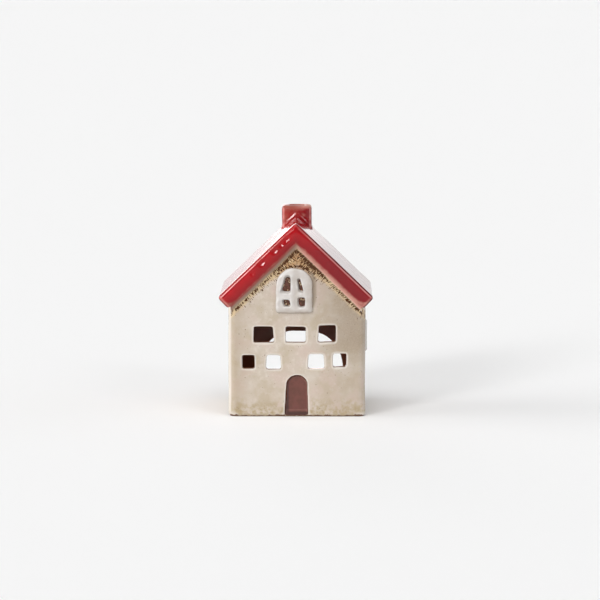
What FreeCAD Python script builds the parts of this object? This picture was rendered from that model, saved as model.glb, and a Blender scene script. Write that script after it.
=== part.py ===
"""A tealight house of slab-built glazed stoneware.

Frame: millimetres, +Z up. The origin is on the table, under the middle of the house. The door looks
along -Y, the candle goes in and out through the back at +Y, and +X is to the right of the door.
"""

import FreeCAD
import Part
import math
import os

# Walls
wall_span = 77.0
wall_depth = 74.0
wall_thickness = 5.0
wall_corner_radius = 4.5
wall_foot_radius = 1.4
eaves_height = 60.3
# How deep the side walls and the base are let into their neighbours
corner_rebate = 1.5
base_rebate = 1.5
base_thickness = 5.0

# Roof
roof_pitch_degrees = 43.8
roof_thickness = 8.9
roof_overhang = 3.0
ridge_radius = 3.2
eaves_radius = 2.2
roof_edge_radius = 1.0
# Fillet of slip between the gable's face and the roof's overhang
slip_height = 2.4
slip_reach = 2.0

# Chimney
chimney_width = 17.2
chimney_depth = 16.0
# How far the stack's rim stands above the ridge
chimney_rise = 5.45
chimney_front_place = 14.0
chimney_off_centre = -0.5
chimney_corner_radius = 3.4
chimney_rim_radius = 1.2
flue_width = 8.6
flue_depth = 7.6
flue_corner_radius = 2.0

# Front windows
window_corner_radius = 1.3
window_arris_radius = 0.9
upper_window_height = 9.2
lower_window_height = 7.6
# The upper row hangs below the eaves, and the lower row below the upper one
upper_row_drop = 9.3
lower_row_drop = 7.0
# Centre and width as shares of the wall's span, and lift as a share of the window's height
upper_window_shares = ((-0.243, 0.146, 0.0), (-0.007, 0.147, 0.0), (0.222, 0.126, 0.05))
lower_window_shares = (
    (-0.353, 0.091, 0.0),
    (-0.170, 0.102, -0.03),
    (0.142, 0.113, 0.03),
    (0.314, 0.098, 0.11),
)

# Door
door_width = 12.8
door_height = 22.9
door_corner_radius = 5.2
door_off_centre = -0.3
door_sill_height = 1.0
door_recess = 2.2
door_thickness = 1.6
door_clearance = 0.15

# Back opening
opening_half_width = 24.4
opening_top_height = 38.9
opening_corner_radius = 21.0
opening_off_centre = 1.7

# Relief windows
attic_width = 21.0
attic_height = 25.4
# From the peak of the roof's underside down to the window's top
attic_drop = 13.2
attic_off_centre = -1.2
attic_proud = 2.4
side_window_width = 14.0
side_window_height = 17.6
side_window_drop = 9.5
side_window_proud = 1.7
# Shares of a relief window's width, height and thickness
border_width_share = 0.165
bar_width_share = 0.2
arch_radius_width_share = 0.42
foot_radius_width_share = 0.07
transom_low_height_share = 0.32
transom_high_height_share = 0.48
arris_thickness_share = 0.3

# Tealight
tealight_diameter = 38.0
tealight_height = 15.0
cup_wall = 0.4
cup_rim_width = 0.8
wax_clearance = 0.15
wax_depth = 13.0
sustainer_diameter = 14.0
sustainer_thickness = 0.4
sustainer_collar_height = 3.0
sustainer_collar_wall = 0.4
wick_diameter = 1.6
wick_clearance = 0.1
wick_stand = 5.0

# One overrun for every cut that passes a face, and the largest round that a side takes
overrun = 2.0
largest_round_share = 0.48

pitch = math.radians(roof_pitch_degrees)
half_span = wall_span / 2
half_depth = wall_depth / 2
inner_half_span = half_span - wall_thickness
inner_half_depth = half_depth - wall_thickness
roof_half_depth = half_depth + roof_overhang
underside_ridge_height = eaves_height + half_span * math.tan(pitch)
ridge_height = underside_ridge_height + roof_thickness / math.cos(pitch)
eaves_reach = half_span + roof_thickness * math.sin(pitch)
eaves_tip_height = eaves_height + roof_thickness * math.cos(pitch)
chimney_top_height = ridge_height + chimney_rise
clear_height = chimney_top_height + overrun
upper_window_sill = eaves_height - upper_row_drop - upper_window_height
lower_window_sill = upper_window_sill - lower_row_drop - lower_window_height
attic_sill = underside_ridge_height - attic_drop - attic_height
side_window_sill = eaves_height - side_window_drop - side_window_height

sideways = FreeCAD.Vector(1, 0, 0)
backwards = FreeCAD.Vector(0, 1, 0)
upwards = FreeCAD.Vector(0, 0, 1)
origin = FreeCAD.Vector(0, 0, 0)


def point(x, y, z):
    """A point of the house's frame."""
    return FreeCAD.Vector(x, y, z)


def box(low, high):
    """A box between two corners, each (x, y, z)."""
    size = [end - start for start, end in zip(low, high)]
    return Part.makeBox(*size, point(*low))


def prism(points, run):
    """A closed outline of straight runs, extruded along a vector."""
    return Part.Face(Part.makePolygon(points + points[:1])).extrude(run)


def cylinder(radius, low, high):
    """An upright cylinder on the tealight's axis, between two heights."""
    return Part.makeCylinder(radius, high - low, point(opening_off_centre, 0, low))


def rounded(shape, radius, chosen):
    """Round the edges that a test picks."""
    return shape.makeFillet(radius, [edge for edge in shape.Edges if chosen(edge)])


def is_parallel(edge, direction):
    """Whether an edge is straight and runs along a unit direction."""
    if not isinstance(edge.Curve, Part.Line):
        return False
    return math.isclose(abs(edge.Curve.Direction.dot(direction)), 1, rel_tol=1e-6)


def lies_at(edge, direction, place):
    """Whether both ends of an edge are at a place along a unit direction."""
    return all(math.isclose(end.Point.dot(direction), place, abs_tol=1e-6) for end in edge.Vertexes)


def arch_block(low, high, run, top_radius, foot_radius):
    """A block between two corners, with its top corners and feet rounded as seen along run."""
    block = box(low, high)
    width = min(high[axis] - low[axis] for axis in (0, 1) if not run[axis])
    for radius, height in ((top_radius, high[2]), (foot_radius, low[2])):
        if radius:
            limited = min(radius, width * largest_round_share)
            block = rounded(
                block, limited, lambda edge: is_parallel(edge, run) and lies_at(edge, upwards, height)
            )
    return block


def rounded_post(centre, width, depth, radius, low_z, high_z):
    """An upright post with rounded corners in plan, about a centre (x, y)."""
    low = (centre[0] - width / 2, centre[1] - depth / 2, low_z)
    high = (centre[0] + width / 2, centre[1] + depth / 2, high_z)
    limited = min(radius, width * largest_round_share, depth * largest_round_share)
    return rounded(box(low, high), limited, lambda edge: is_parallel(edge, upwards))


def under_roof():
    """All that lies below the roof's underside."""
    reach = eaves_reach + overrun
    low_end = underside_ridge_height - reach * math.tan(pitch)
    front = -roof_half_depth - overrun
    outline = [
        point(-reach, front, -overrun),
        point(reach, front, -overrun),
        point(reach, front, low_end),
        point(0, front, underside_ridge_height),
        point(-reach, front, low_end),
    ]
    return prism(outline, backwards * (-2 * front))


def wall_envelope():
    """The outer form of the four walls together, with its rounded corners and foot."""
    block = rounded_post((0, 0), wall_span, wall_depth, wall_corner_radius, 0, clear_height)
    block = rounded(block, wall_foot_radius, lambda edge: lies_at(edge, upwards, 0))
    return block.common(under_roof())


def base_slab():
    """The floor of the house, let into the feet of all four walls."""
    reach_x = inner_half_span + base_rebate
    reach_y = inner_half_depth + base_rebate
    return box((-reach_x, -reach_y, 0), (reach_x, reach_y, base_thickness))


def side_wall_zone(side):
    """The space of a side wall, with its ends let into the gable walls. side is -1 or 1."""
    low_x, high_x = sorted((side * inner_half_span, side * half_span))
    reach_y = inner_half_depth + corner_rebate
    return box((low_x, -reach_y, 0), (high_x, reach_y, clear_height))


def side_wall(side):
    """A side wall, bevelled on top to the roof's slope."""
    return wall_envelope().common(side_wall_zone(side)).cut(base_slab())


def slip_fillet(end):
    """The fillet of slip under the roof's overhang, along one gable. end is -1 or 1."""
    root, face, tip = (backwards * (end * (half_depth + reach)) for reach in (-corner_rebate, 0, slip_reach))
    drop = point(math.sin(pitch), 0, math.cos(pitch)) * -slip_height
    down_slope = point(math.cos(pitch), 0, -math.sin(pitch))
    start = upwards * underside_ridge_height - down_slope * slip_height
    section = [start + root, start + tip, start + face + drop, start + root + drop]
    length = half_span / math.cos(pitch) + 2 * slip_height
    half_gable = box((0, -roof_half_depth, 0), (half_span, roof_half_depth, clear_height))
    right = prism(section, down_slope * length).common(half_gable)
    return right.fuse(right.mirror(origin, sideways))


def gable_wall(end):
    """A gable wall before its openings are cut: end is -1 at the front and 1 at the back."""
    low_y, high_y = sorted((end * inner_half_depth, end * half_depth))
    zone = box((-half_span, low_y, 0), (half_span, high_y, clear_height))
    wall = wall_envelope().common(zone).fuse(slip_fillet(end))
    for neighbour in (side_wall_zone(-1), side_wall_zone(1), base_slab()):
        wall = wall.cut(neighbour)
    return wall.removeSplitter()


def window_cutters():
    """A cutter for each window of the front wall."""
    low_y, high_y = -half_depth - overrun, -inner_half_depth + overrun
    rows = (
        (upper_window_shares, upper_window_sill, upper_window_height),
        (lower_window_shares, lower_window_sill, lower_window_height),
    )
    cutters = []
    for windows, row_sill, height in rows:
        for centre_share, width_share, lift_share in windows:
            left = (centre_share - width_share / 2) * wall_span
            right = (centre_share + width_share / 2) * wall_span
            sill = row_sill + lift_share * height
            corners = (left, low_y, sill), (right, high_y, sill + height)
            cutters.append(arch_block(*corners, backwards, window_corner_radius, window_corner_radius))
    return cutters


def soft_window(wall, cutter):
    """Cut one window and round its outer arris, as glaze does."""
    wall = wall.cut(cutter)
    reach = cutter.BoundBox
    reach.enlarge(window_arris_radius)
    return rounded(
        wall,
        window_arris_radius,
        lambda edge: lies_at(edge, backwards, -half_depth) and reach.isInside(edge.BoundBox),
    )


def door_form(clearance, front_place, back_place):
    """The arched form of the door, smaller by a clearance all round, between two places along Y."""
    half_width = door_width / 2 - clearance
    low = (door_off_centre - half_width, front_place, door_sill_height + clearance)
    high = (door_off_centre + half_width, back_place, door_height - clearance)
    return arch_block(low, high, backwards, door_corner_radius - clearance, 0)


def front_gable_wall():
    """The front wall with its soft-edged windows and the recess that holds the door."""
    wall = gable_wall(-1)
    for cutter in window_cutters():
        wall = soft_window(wall, cutter)
    return wall.cut(door_form(0, -half_depth - overrun, -half_depth + door_recess))


def front_door_panel():
    """The door, bedded on the floor of its recess."""
    back_place = -half_depth + door_recess
    return door_form(door_clearance, back_place - door_thickness, back_place)


def back_gable_wall():
    """The back wall with the large arched opening that the candle goes through."""
    low = (opening_off_centre - opening_half_width, inner_half_depth - overrun, base_thickness)
    high = (opening_off_centre + opening_half_width, half_depth + overrun, opening_top_height)
    return gable_wall(1).cut(arch_block(low, high, backwards, opening_corner_radius, 0))


def roof_form():
    """Both roof slabs as one form, with rounded ridge, eaves and edges."""
    front = -roof_half_depth
    right = [
        point(0, front, underside_ridge_height),
        point(half_span, front, eaves_height),
        point(eaves_reach, front, eaves_tip_height),
        point(0, front, ridge_height),
    ]
    left = [point(-place.x, place.y, place.z) for place in reversed(right[1:-1])]
    form = prism(right + left, backwards * (-2 * front))
    for radius, height in ((ridge_radius, ridge_height), (eaves_radius, eaves_tip_height)):
        form = rounded(
            form, radius, lambda edge: is_parallel(edge, backwards) and lies_at(edge, upwards, height)
        )
    for place in (-roof_half_depth, roof_half_depth):
        form = rounded(form, roof_edge_radius, lambda edge: lies_at(edge, backwards, place))
    return form


def chimney_post(width, depth, radius):
    """A post on the chimney's axis, from the eaves to past the chimney's top."""
    centre = (chimney_off_centre, chimney_front_place + chimney_depth / 2)
    return rounded_post(centre, width, depth, radius, eaves_height, clear_height)


def flue():
    """The way that the candle's warm air takes through the roof and the chimney."""
    return chimney_post(flue_width, flue_depth, flue_corner_radius)


def roof_slab(side):
    """A roof slab, mitred at the ridge and notched for the flue. side is -1 or 1."""
    low_x, high_x = sorted((0, side * eaves_reach))
    zone = box((low_x, -roof_half_depth, 0), (high_x, roof_half_depth, clear_height))
    return roof_form().common(zone).cut(flue())


def chimney():
    """The stack, V-cut to sit astride the ridge, with a soft rim and an open flue."""
    below_top = box((-wall_span, -wall_depth, 0), (wall_span, wall_depth, chimney_top_height))
    stack = chimney_post(chimney_width, chimney_depth, chimney_corner_radius).common(below_top)
    stack = stack.cut(flue())
    stack = rounded(stack, chimney_rim_radius, lambda edge: lies_at(edge, upwards, chimney_top_height))
    return stack.cut(roof_form()).cut(under_roof())


def relief_window(width, height, thickness):
    """An arched frame with four lights. Its back's foot is centred on the origin, and it looks along -Y."""
    border = width * border_width_share
    arch_radius = width * arch_radius_width_share
    foot_radius = width * foot_radius_width_share
    frame = arch_block(
        (-width / 2, -thickness, 0), (width / 2, 0, height), backwards, arch_radius, foot_radius
    )
    lights = arch_block(
        (-width / 2 + border, -thickness - overrun, border),
        (width / 2 - border, overrun, height - border),
        backwards,
        arch_radius - border,
        foot_radius,
    )
    bar = width * bar_width_share / 2
    bars = (
        box((-bar, -thickness - overrun, 0), (bar, overrun, height)),
        box(
            (-width / 2, -thickness - overrun, height * transom_low_height_share),
            (width / 2, overrun, height * transom_high_height_share),
        ),
    )
    for piece in bars:
        lights = lights.cut(piece)
    frame = frame.cut(lights)
    arris = thickness * arris_thickness_share
    return rounded(frame, arris, lambda edge: lies_at(edge, backwards, -thickness))


def attic_window_frame():
    """The relief window of the gable."""
    frame = relief_window(attic_width, attic_height, attic_proud)
    frame.translate(point(attic_off_centre, -half_depth, attic_sill))
    return frame


def side_window_frame(side):
    """The relief window in the middle of a side wall. side is -1 or 1."""
    frame = relief_window(side_window_width, side_window_height, side_window_proud)
    frame.rotate(origin, upwards, side * 90)
    frame.translate(point(side * half_span, 0, side_window_sill))
    return frame


def tealight_cup():
    """The thin cup with its rolled rim."""
    radius = tealight_diameter / 2 - cup_rim_width
    top = base_thickness + tealight_height
    cup = cylinder(radius, base_thickness, top).fuse(cylinder(tealight_diameter / 2, top - cup_rim_width, top))
    return cup.cut(cylinder(radius - cup_wall, base_thickness + cup_wall, top + overrun))


def wick_sustainer():
    """The small plate on the cup's floor, with the collar that holds the wick upright."""
    floor = base_thickness + cup_wall
    bore = wick_diameter / 2 + wick_clearance
    plate = cylinder(sustainer_diameter / 2, floor, floor + sustainer_thickness)
    collar = cylinder(bore + sustainer_collar_wall, floor, floor + sustainer_collar_height)
    return plate.fuse(collar).cut(cylinder(bore, floor + sustainer_thickness, floor + tealight_height))


def tealight_wick():
    """The wick, from the sustainer's plate to above the wax."""
    floor = base_thickness + cup_wall
    return cylinder(wick_diameter / 2, floor + sustainer_thickness, floor + wax_depth + wick_stand)


def tealight_wax():
    """The wax, cast round the sustainer and the wick."""
    floor = base_thickness + cup_wall
    radius = tealight_diameter / 2 - cup_rim_width - cup_wall - wax_clearance
    collar = wick_diameter / 2 + wick_clearance + sustainer_collar_wall + wick_clearance
    wax = cylinder(radius, floor, floor + wax_depth)
    wax = wax.cut(cylinder(sustainer_diameter / 2 + wick_clearance, floor, floor + sustainer_thickness))
    wax = wax.cut(cylinder(collar, floor, floor + sustainer_collar_height))
    return wax.cut(cylinder(wick_diameter / 2 + wick_clearance, floor, floor + tealight_height))


def build():
    """Every piece of the house, by its name."""
    return {
        "base_slab": base_slab(),
        "front_gable_wall": front_gable_wall(),
        "back_gable_wall": back_gable_wall(),
        "left_side_wall": side_wall(-1),
        "right_side_wall": side_wall(1),
        "left_roof_slab": roof_slab(-1),
        "right_roof_slab": roof_slab(1),
        "chimney": chimney(),
        "attic_window_frame": attic_window_frame(),
        "left_window_frame": side_window_frame(-1),
        "right_window_frame": side_window_frame(1),
        "front_door_panel": front_door_panel(),
        "tealight_cup": tealight_cup(),
        "tealight_wax": tealight_wax(),
        "tealight_wick": tealight_wick(),
        "wick_sustainer": wick_sustainer(),
    }


os.makedirs("parts", exist_ok=True)
for name, shape in build().items():
    shape.exportStep(os.path.join("parts", name + ".step"))
    print(name, "solids", len(shape.Solids), "valid", shape.isValid(), "volume", round(shape.Volume))
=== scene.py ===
"""Looks of a small tealight house: slab-built stoneware under cream, red and white glazes.

Every size is in metres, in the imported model's own frame: the door looks along -Y, the candle goes in
and out through the back at +Y, and +Z is up from the table.
"""

import logging
import math
from dataclasses import dataclass
from enum import Enum
from typing import Callable, Sequence

import bpy
import numpy as np
from mathutils import Euler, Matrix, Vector


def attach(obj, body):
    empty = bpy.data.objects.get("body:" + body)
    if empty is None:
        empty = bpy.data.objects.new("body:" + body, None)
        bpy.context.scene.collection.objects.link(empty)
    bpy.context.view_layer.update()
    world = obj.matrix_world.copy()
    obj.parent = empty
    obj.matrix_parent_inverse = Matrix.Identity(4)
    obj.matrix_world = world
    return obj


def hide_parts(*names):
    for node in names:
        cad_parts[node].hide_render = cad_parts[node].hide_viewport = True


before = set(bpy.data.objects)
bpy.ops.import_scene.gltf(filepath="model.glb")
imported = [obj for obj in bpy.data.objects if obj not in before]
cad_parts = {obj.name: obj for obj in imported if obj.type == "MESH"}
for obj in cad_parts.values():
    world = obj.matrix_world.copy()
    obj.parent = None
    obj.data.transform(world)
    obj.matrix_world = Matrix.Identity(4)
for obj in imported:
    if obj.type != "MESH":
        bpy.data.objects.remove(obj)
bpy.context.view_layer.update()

log = logging.getLogger("tealight_house")
MM = 0.001
Pair = tuple[float, float]
Point = tuple[float, float, float]
Colour = tuple[float, float, float, float]
Piece = bpy.types.Object
Socket = bpy.types.NodeSocket
EdgeTest = Callable[[Vector, Vector], bool]
# A mask's start and full end on the value that it reads, and where given its weakest and strongest share
Limits = tuple[float, ...]
# How near to a cut a point must lie to be taken as part of it
CUT_THRESHOLD = 0.001 * MM
# How far apart two places may lie to count as one
CLOSE = 0.01 * MM
# How far below its highest point an edge at a form's top may lie, since hand-cut holes aren't level
LEVEL = 0.5 * MM
# The angle past which an edge is drawn sharp
SHARP = math.radians(40)
# The rigid body that every modelled piece rides on
BODY = "house"


class Slot(Enum):
    """The record's finishes that the modelled pieces wear."""

    CREAM = "cream_glaze"
    RED = "red_glaze"
    WHITE = "white_glaze"
    BROWN = "brown_engobe"


class Gable(Enum):
    """The two gable walls, by their direction along Y."""

    FRONT = -1
    BACK = 1


class Side(Enum):
    """The two sides of the house, by their direction along X."""

    LEFT = -1
    RIGHT = 1


class Kind(Enum):
    """The nodes in use: type, settings, the sockets that values go to in turn, and the result's socket."""

    PLACE = ("TexCoord", {}, (), "Object")
    OUTWARDS = ("TexCoord", {}, (), "Generated")
    MARK = ("Attribute", {}, (), "Fac")
    RAYS = ("LightPath", {}, (), 0)
    AXES = ("SeparateXYZ", {}, (0,), 0)
    GREEN = ("SeparateColor", {}, (0,), "Green")
    STRETCH = ("Mapping", {}, ("Vector", "Scale"), 0)
    NOISE = ("TexNoise", {}, ("Vector", "Scale", "Detail"), 0)
    BUMP = ("Bump", {}, ("Height", "Distance"), 0)
    STEP = ("MapRange", {"interpolation_type": "SMOOTHSTEP"}, (0, 1, 2, 3, 4), 0)
    RANGE = ("MapRange", {}, (0, 1, 2, 3, 4), 0)
    LAYER = ("Mix", {"data_type": "RGBA"}, (0, 6, 7), 2)
    TIMES = ("Math", {"operation": "MULTIPLY"}, (0, 1), 0)
    PLUS = ("Math", {"operation": "ADD"}, (0, 1), 0)
    TIMES_PLUS = ("Math", {"operation": "MULTIPLY_ADD"}, (0, 1, 2), 0)
    SHARE = ("Math", {"operation": "DIVIDE"}, (0, 1), 0)
    MOST = ("Math", {"operation": "MAXIMUM"}, (0, 1), 0)
    SIZE = ("Math", {"operation": "ABSOLUTE"}, (0,), 0)
    FACING = ("VectorMath", {"operation": "DOT_PRODUCT"}, (0, 1), "Value")
    GLAZED = ("BsdfPrincipled", {}, ("Base Color", "Roughness", "Specular IOR Level", "IOR", "Normal"), 0)
    COATED = (
        "BsdfPrincipled",
        {},
        ("Base Color", "Roughness", "Metallic", "Subsurface Weight", "Subsurface Radius", "Normal"),
        0,
    )
    MATT = ("BsdfDiffuse", {}, ("Color",), 0)
    GLOW = ("Background", {}, ("Color", "Strength"), 0)
    EITHER = ("MixShader", {}, (0, 1, 2), 0)
    MATERIAL = ("OutputMaterial", {}, ("Surface",), 0)
    WORLD = ("OutputWorld", {}, ("Surface",), 0)


def linear(hex_colour: str) -> Colour:
    """Turn an sRGB hex colour into linear red, green, blue and a full alpha.

    Args:
        hex_colour: six hex digits, red first.

    Returns:
        The four values that a colour socket takes.
    """
    shares = (int(hex_colour[start : start + 2], 16) / 255 for start in (0, 2, 4))
    low_limit, low_slope, offset, power = 0.04045, 12.92, 0.055, 2.4
    red, green, blue = (
        share / low_slope if share <= low_limit else ((share + offset) / (1 + offset)) ** power
        for share in shares
    )
    return red, green, blue, 1.0


class Graph:
    """The node tree of one material or of the world."""

    def __init__(self, owner: bpy.types.ID) -> None:
        """Start an empty tree.

        Args:
            owner: the material or world that the tree belongs to.
        """
        owner.use_nodes = True
        self.tree = owner.node_tree
        self.tree.nodes.clear()

    def add(self, kind: Kind, *values: object, **settings: object) -> Socket | None:
        """Add a node with its settings and links.

        Args:
            kind: the kind of node.
            values: for each of its sockets in turn, an sRGB hex colour, another value or a socket to link.
            settings: more of the node's own properties.

        Returns:
            The socket of its result, or None at the end of the tree.
        """
        type_name, own_settings, sockets, result = kind.value
        node = self.tree.nodes.new("ShaderNode" + type_name)
        for name, value in {**own_settings, **settings}.items():
            setattr(node, name, value)
        for key, value in zip(sockets, values):
            if isinstance(value, Socket):
                self.tree.links.new(value, node.inputs[key])
            else:
                node.inputs[key].default_value = linear(value) if isinstance(value, str) else value
        return node.outputs[result] if node.outputs else None

    def coats(self, colour: Socket | str, *coats: tuple[Socket, Socket | str]) -> Socket:
        """Lay colours over a first one.

        Args:
            colour: the colour underneath.
            coats: a mask and a colour for each, the lowest first.

        Returns:
            The colour that shows.
        """
        for mask, over in coats:
            colour = self.add(Kind.LAYER, mask, colour, over)
        return colour


@dataclass(frozen=True)
class Pattern:
    """The real size of a pattern, and how many finer ones lie on it."""

    size: float
    detail: float

    @property
    def values(self) -> Pair:
        """What a noise node takes: its patterns to a metre, and the finer ones."""
        return 1 / self.size, self.detail


@dataclass(frozen=True)
class CreamGlaze:
    """Cream stoneware glaze: buff clay and iron show through a soft gloss; it breaks to rust at the roof."""

    # Colours of the open wall, from its middle to its sides, its foot and its inside
    cream: str = "CDC2B6"
    light: str = "E2DBD3"
    shade: str = "BBAC98"
    blush: str = "C9B7AB"
    # Painted shade: on the upper right shoulder under the eave, and in the strip right of the attic window
    painted_shade: str = "9A8A77"
    left_shoulder: str = "98805D"
    stain: str = "A69370"
    bare_clay: str = "6E5442"
    indoors: str = "B87A5E"
    # Colours under the roof, behind the relief windows and round the door
    golden: str = "C4AC88"
    crown: str = "B48B60"
    # Honey: golden patches in the drips, and the painted glints in the panes
    honey: str = "D6BE94"
    rust: str = "4E2F1A"
    # The slip under the roof: a shaded copy on the left, a lit copy on the right, with a painted highlight
    # along its lower edge there
    slip: str = "97806C"
    lit_right_slip: str = "CE988A"
    slip_highlight: str = "DFB2A4"
    lap: str = "8A2426"
    pane: str = "6A382A"
    reveal: str = "6B4034"
    # Real sizes of the mottling, the iron specks, the drips and their clusters, and the orange peel
    mottle: Pattern = Pattern(12 * MM, 3)
    fine_mottle: Pattern = Pattern(2.4 * MM, 4)
    grit: Pattern = Pattern(0.9 * MM, 2)
    speck: Pattern = Pattern(0.8 * MM, 1)
    drip: Pattern = Pattern(0.5 * MM, 1)
    drip_patch: Pattern = Pattern(0.5 * MM / 0.3, 2)
    cluster: Pattern = Pattern(5.5 * MM, 1)
    peel: Pattern = Pattern(1.6 * MM, 2)
    peel_depth: float = 0.02 * MM
    # Masks that read the mottling
    mottled: Limits = (0.35, 0.65)
    blushed: Limits = (0.45, 0.7)
    paled: Limits = (0.5, 0.75, 0, 0.28)
    gritty: Limits = (0.35, 0.75, 0, 0.3)
    specked: Limits = (0.74, 0.8)
    pane_patch: Limits = (0.4, 0.6)
    # The honey specks in the panes are painted glints
    pane_lit: Limits = (0.31, 0.38)
    # Masks that read the place: the shoulders, with painted shade on the right, the stained foot and
    # corners, the painted highlight on the front left corner, the painted shadow right of the attic window
    # and the lit right side of the slip
    right_shade_side: Limits = (0.0, 32 * MM)
    right_shade_rise: Limits = (24 * MM, 46 * MM, 0.3, 0.88)
    left_side: Limits = (-20 * MM, -36 * MM, 0, 0.38)
    low_stain: Limits = (20 * MM, 0.0)
    corner_stain: Limits = (28 * MM, 38.5 * MM, 0, 0.6)
    stain_end: Limits = (37.5 * MM, 35.5 * MM)
    stain_patch: Limits = (0.57, 0.95)
    stain_share: float = 0.3
    # Painted highlight on the front left corner: across and along
    corner_highlight: Limits = (-36.2 * MM, -37.8 * MM, 0, 0.75)
    corner_highlight_front: Limits = (-31.5 * MM, -34.5 * MM)
    # Painted shadow right of the attic window: how far right it starts
    attic_shadow_right: Limits = (6 * MM, 9 * MM)
    # Where the slip's lit copy begins on the right
    lit_slip_side: Limits = (-3 * MM, 5 * MM)
    # Masks that read the marks on the mesh
    # Painted shadow right of the attic window: how near to its outline
    attic_shadow_near: Limits = (2.4 * MM, 0.6 * MM, 0, 0.8)
    # The arrises are painted paler, partly as a glaze break and partly as a painted highlight
    arris_light: Limits = (0.1 * MM, 0.4 * MM, 0, 0.6)
    slip_start: Limits = (0.02, 0.3)
    # Painted highlight along the slip's lower edge
    slip_highlight_band: Limits = (0.4, 0.12)
    slip_lap: Limits = (0.4, 1.1)
    inner_skin: Limits = (4.1 * MM, 3.5 * MM)
    inner_wave: float = 1.2 * MM
    # The bare foot's height, how the glaze's lower edge waves in shares of it, and where it ends
    foot: float = 0.85 * MM
    foot_wave: Pair = (5, -2.4)
    foot_end: Limits = (1.3, 0.8)
    # How far below the roof the glaze stays golden, and more so under the apex
    golden_reach: float = 7 * MM
    crown_reach: float = 15 * MM
    crown_along: Limits = (30 * MM, 8 * MM)
    golden_near: Limits = (1.0, 0.25)
    golden_streak: Limits = (0.55, 1.25)
    honey_patch: Limits = (0.45, 0.7)
    streak_share: float = 0.8
    drip_stretch: Point = (1.0, 0.24, 0.0)
    # The rust gathers in a line below the slip and in a ring round the attic window
    rust_line: float = 2.8 * MM
    line_near: Limits = (1.3 * MM, 0.2 * MM)
    rust_ring: float = 0.9 * MM
    ring_near: Limits = (1.0 * MM, 0.2 * MM)
    # It is denser under the apex and to the right, sparser between the clusters, and ends with the gold
    rust_spread: float = 0.1
    rust_right: Limits = (-3 * MM, 6 * MM, 0.55, 0.95)
    line_right: Limits = (-3 * MM, 6 * MM, 0.115, 0.12)
    line_crown: float = 0.02
    clustered: Limits = (0.35, 0.65, -0.09, 0.03)
    cluster_crown: Limits = (0.9, 0.3)
    least_cluster: float = 0.6
    rusty: Limits = (0.6, 0.67)
    rust_end: Limits = (0.0, 0.2)
    # Bare clay is matt, and rust is dull
    roughness: Limits = (0, 1, 0.22, 0.8)
    gloss: Limits = (0, 1, 0.5, 0.15)
    refraction: float = 1.5

    def material(self) -> bpy.types.Material:
        """Build the material. Marks on the mesh say where the roof, the inside and the panes are.

        Returns:
            The material.
        """
        made = bpy.data.materials.new("cream_stoneware_glaze")
        graph = Graph(made)
        add = graph.add
        place = add(Kind.PLACE)
        axes = add(Kind.AXES, place).node.outputs
        marks = ("skin", "arris", "pane", "slip", "door", "attic")
        skin, arris, pane, slip, door, attic = (add(Kind.MARK, attribute_name=name) for name in marks)
        fine = add(Kind.NOISE, place, *self.fine_mottle.values)
        grain = add(Kind.NOISE, place, *self.grit.values)
        speck = add(Kind.NOISE, place, *self.speck.values)

        colour = self._body_colour(graph, place, axes, fine)
        colour = graph.coats(colour, (add(Kind.STEP, grain, *self.gritty), self.shade))
        colour, rust = self._gable_colour(graph, axes["X"], attic, colour)
        # Painted shadow that the attic window casts onto the wall on its right
        beside_x = add(Kind.STEP, axes["X"], *self.attic_shadow_right)
        beside = add(Kind.TIMES, add(Kind.STEP, attic, *self.attic_shadow_near), beside_x)
        # Painted highlight on the front left corner
        corner_highlight_y = add(Kind.STEP, axes["Y"], *self.corner_highlight_front)
        corner = add(Kind.TIMES, add(Kind.STEP, axes["X"], *self.corner_highlight), corner_highlight_y)
        # The slip is a lit copy on the right, with a painted highlight along its lower edge there
        sideways = add(Kind.STEP, axes["X"], *self.lit_slip_side)
        slip_highlight_mask = add(Kind.TIMES, sideways, add(Kind.STEP, slip, *self.slip_highlight_band))
        slip_colour = graph.coats(self.slip, (sideways, self.lit_right_slip), (slip_highlight_mask, self.slip_highlight))
        # Painted glints in the panes
        lit = add(Kind.STEP, add(Kind.TIMES, speck, fine), *self.pane_lit)
        patch = add(Kind.STEP, grain, *self.pane_patch)
        wavy = add(Kind.TIMES_PLUS, fine, *(share * self.foot for share in self.foot_wave))
        height = add(Kind.PLUS, axes["Z"], wavy)
        foot = add(Kind.STEP, height, *(share * self.foot for share in self.foot_end))
        depth = add(Kind.TIMES_PLUS, fine, self.inner_wave, skin)
        colour = graph.coats(
            colour,
            (add(Kind.STEP, speck, *self.specked), self.rust),
            # Painted shadow right of the attic window
            (beside, self.painted_shade),
            # Paler arrises, partly a glaze break and partly a painted highlight, and the painted highlight
            # on the front left corner
            (add(Kind.MOST, add(Kind.STEP, arris, *self.arris_light), corner), self.light),
            # The slip, a shaded copy on the left and a lit copy with a painted highlight on the right
            (add(Kind.STEP, slip, *self.slip_start), slip_colour),
            (add(Kind.STEP, slip, *self.slip_lap), self.lap),
            # The panes, with painted glints
            (pane, graph.coats(self.rust, (patch, self.pane), (lit, self.honey))),
            (door, self.reveal),
            (foot, self.bare_clay),
            (add(Kind.STEP, depth, *self.inner_skin), self.indoors),
        )
        rough = add(Kind.RANGE, foot, *self.roughness)
        gloss = add(Kind.RANGE, rust, *self.gloss)
        bump = add(Kind.BUMP, add(Kind.NOISE, place, *self.peel.values), self.peel_depth)
        add(Kind.MATERIAL, add(Kind.GLAZED, colour, rough, gloss, self.refraction, bump))
        return made

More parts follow.
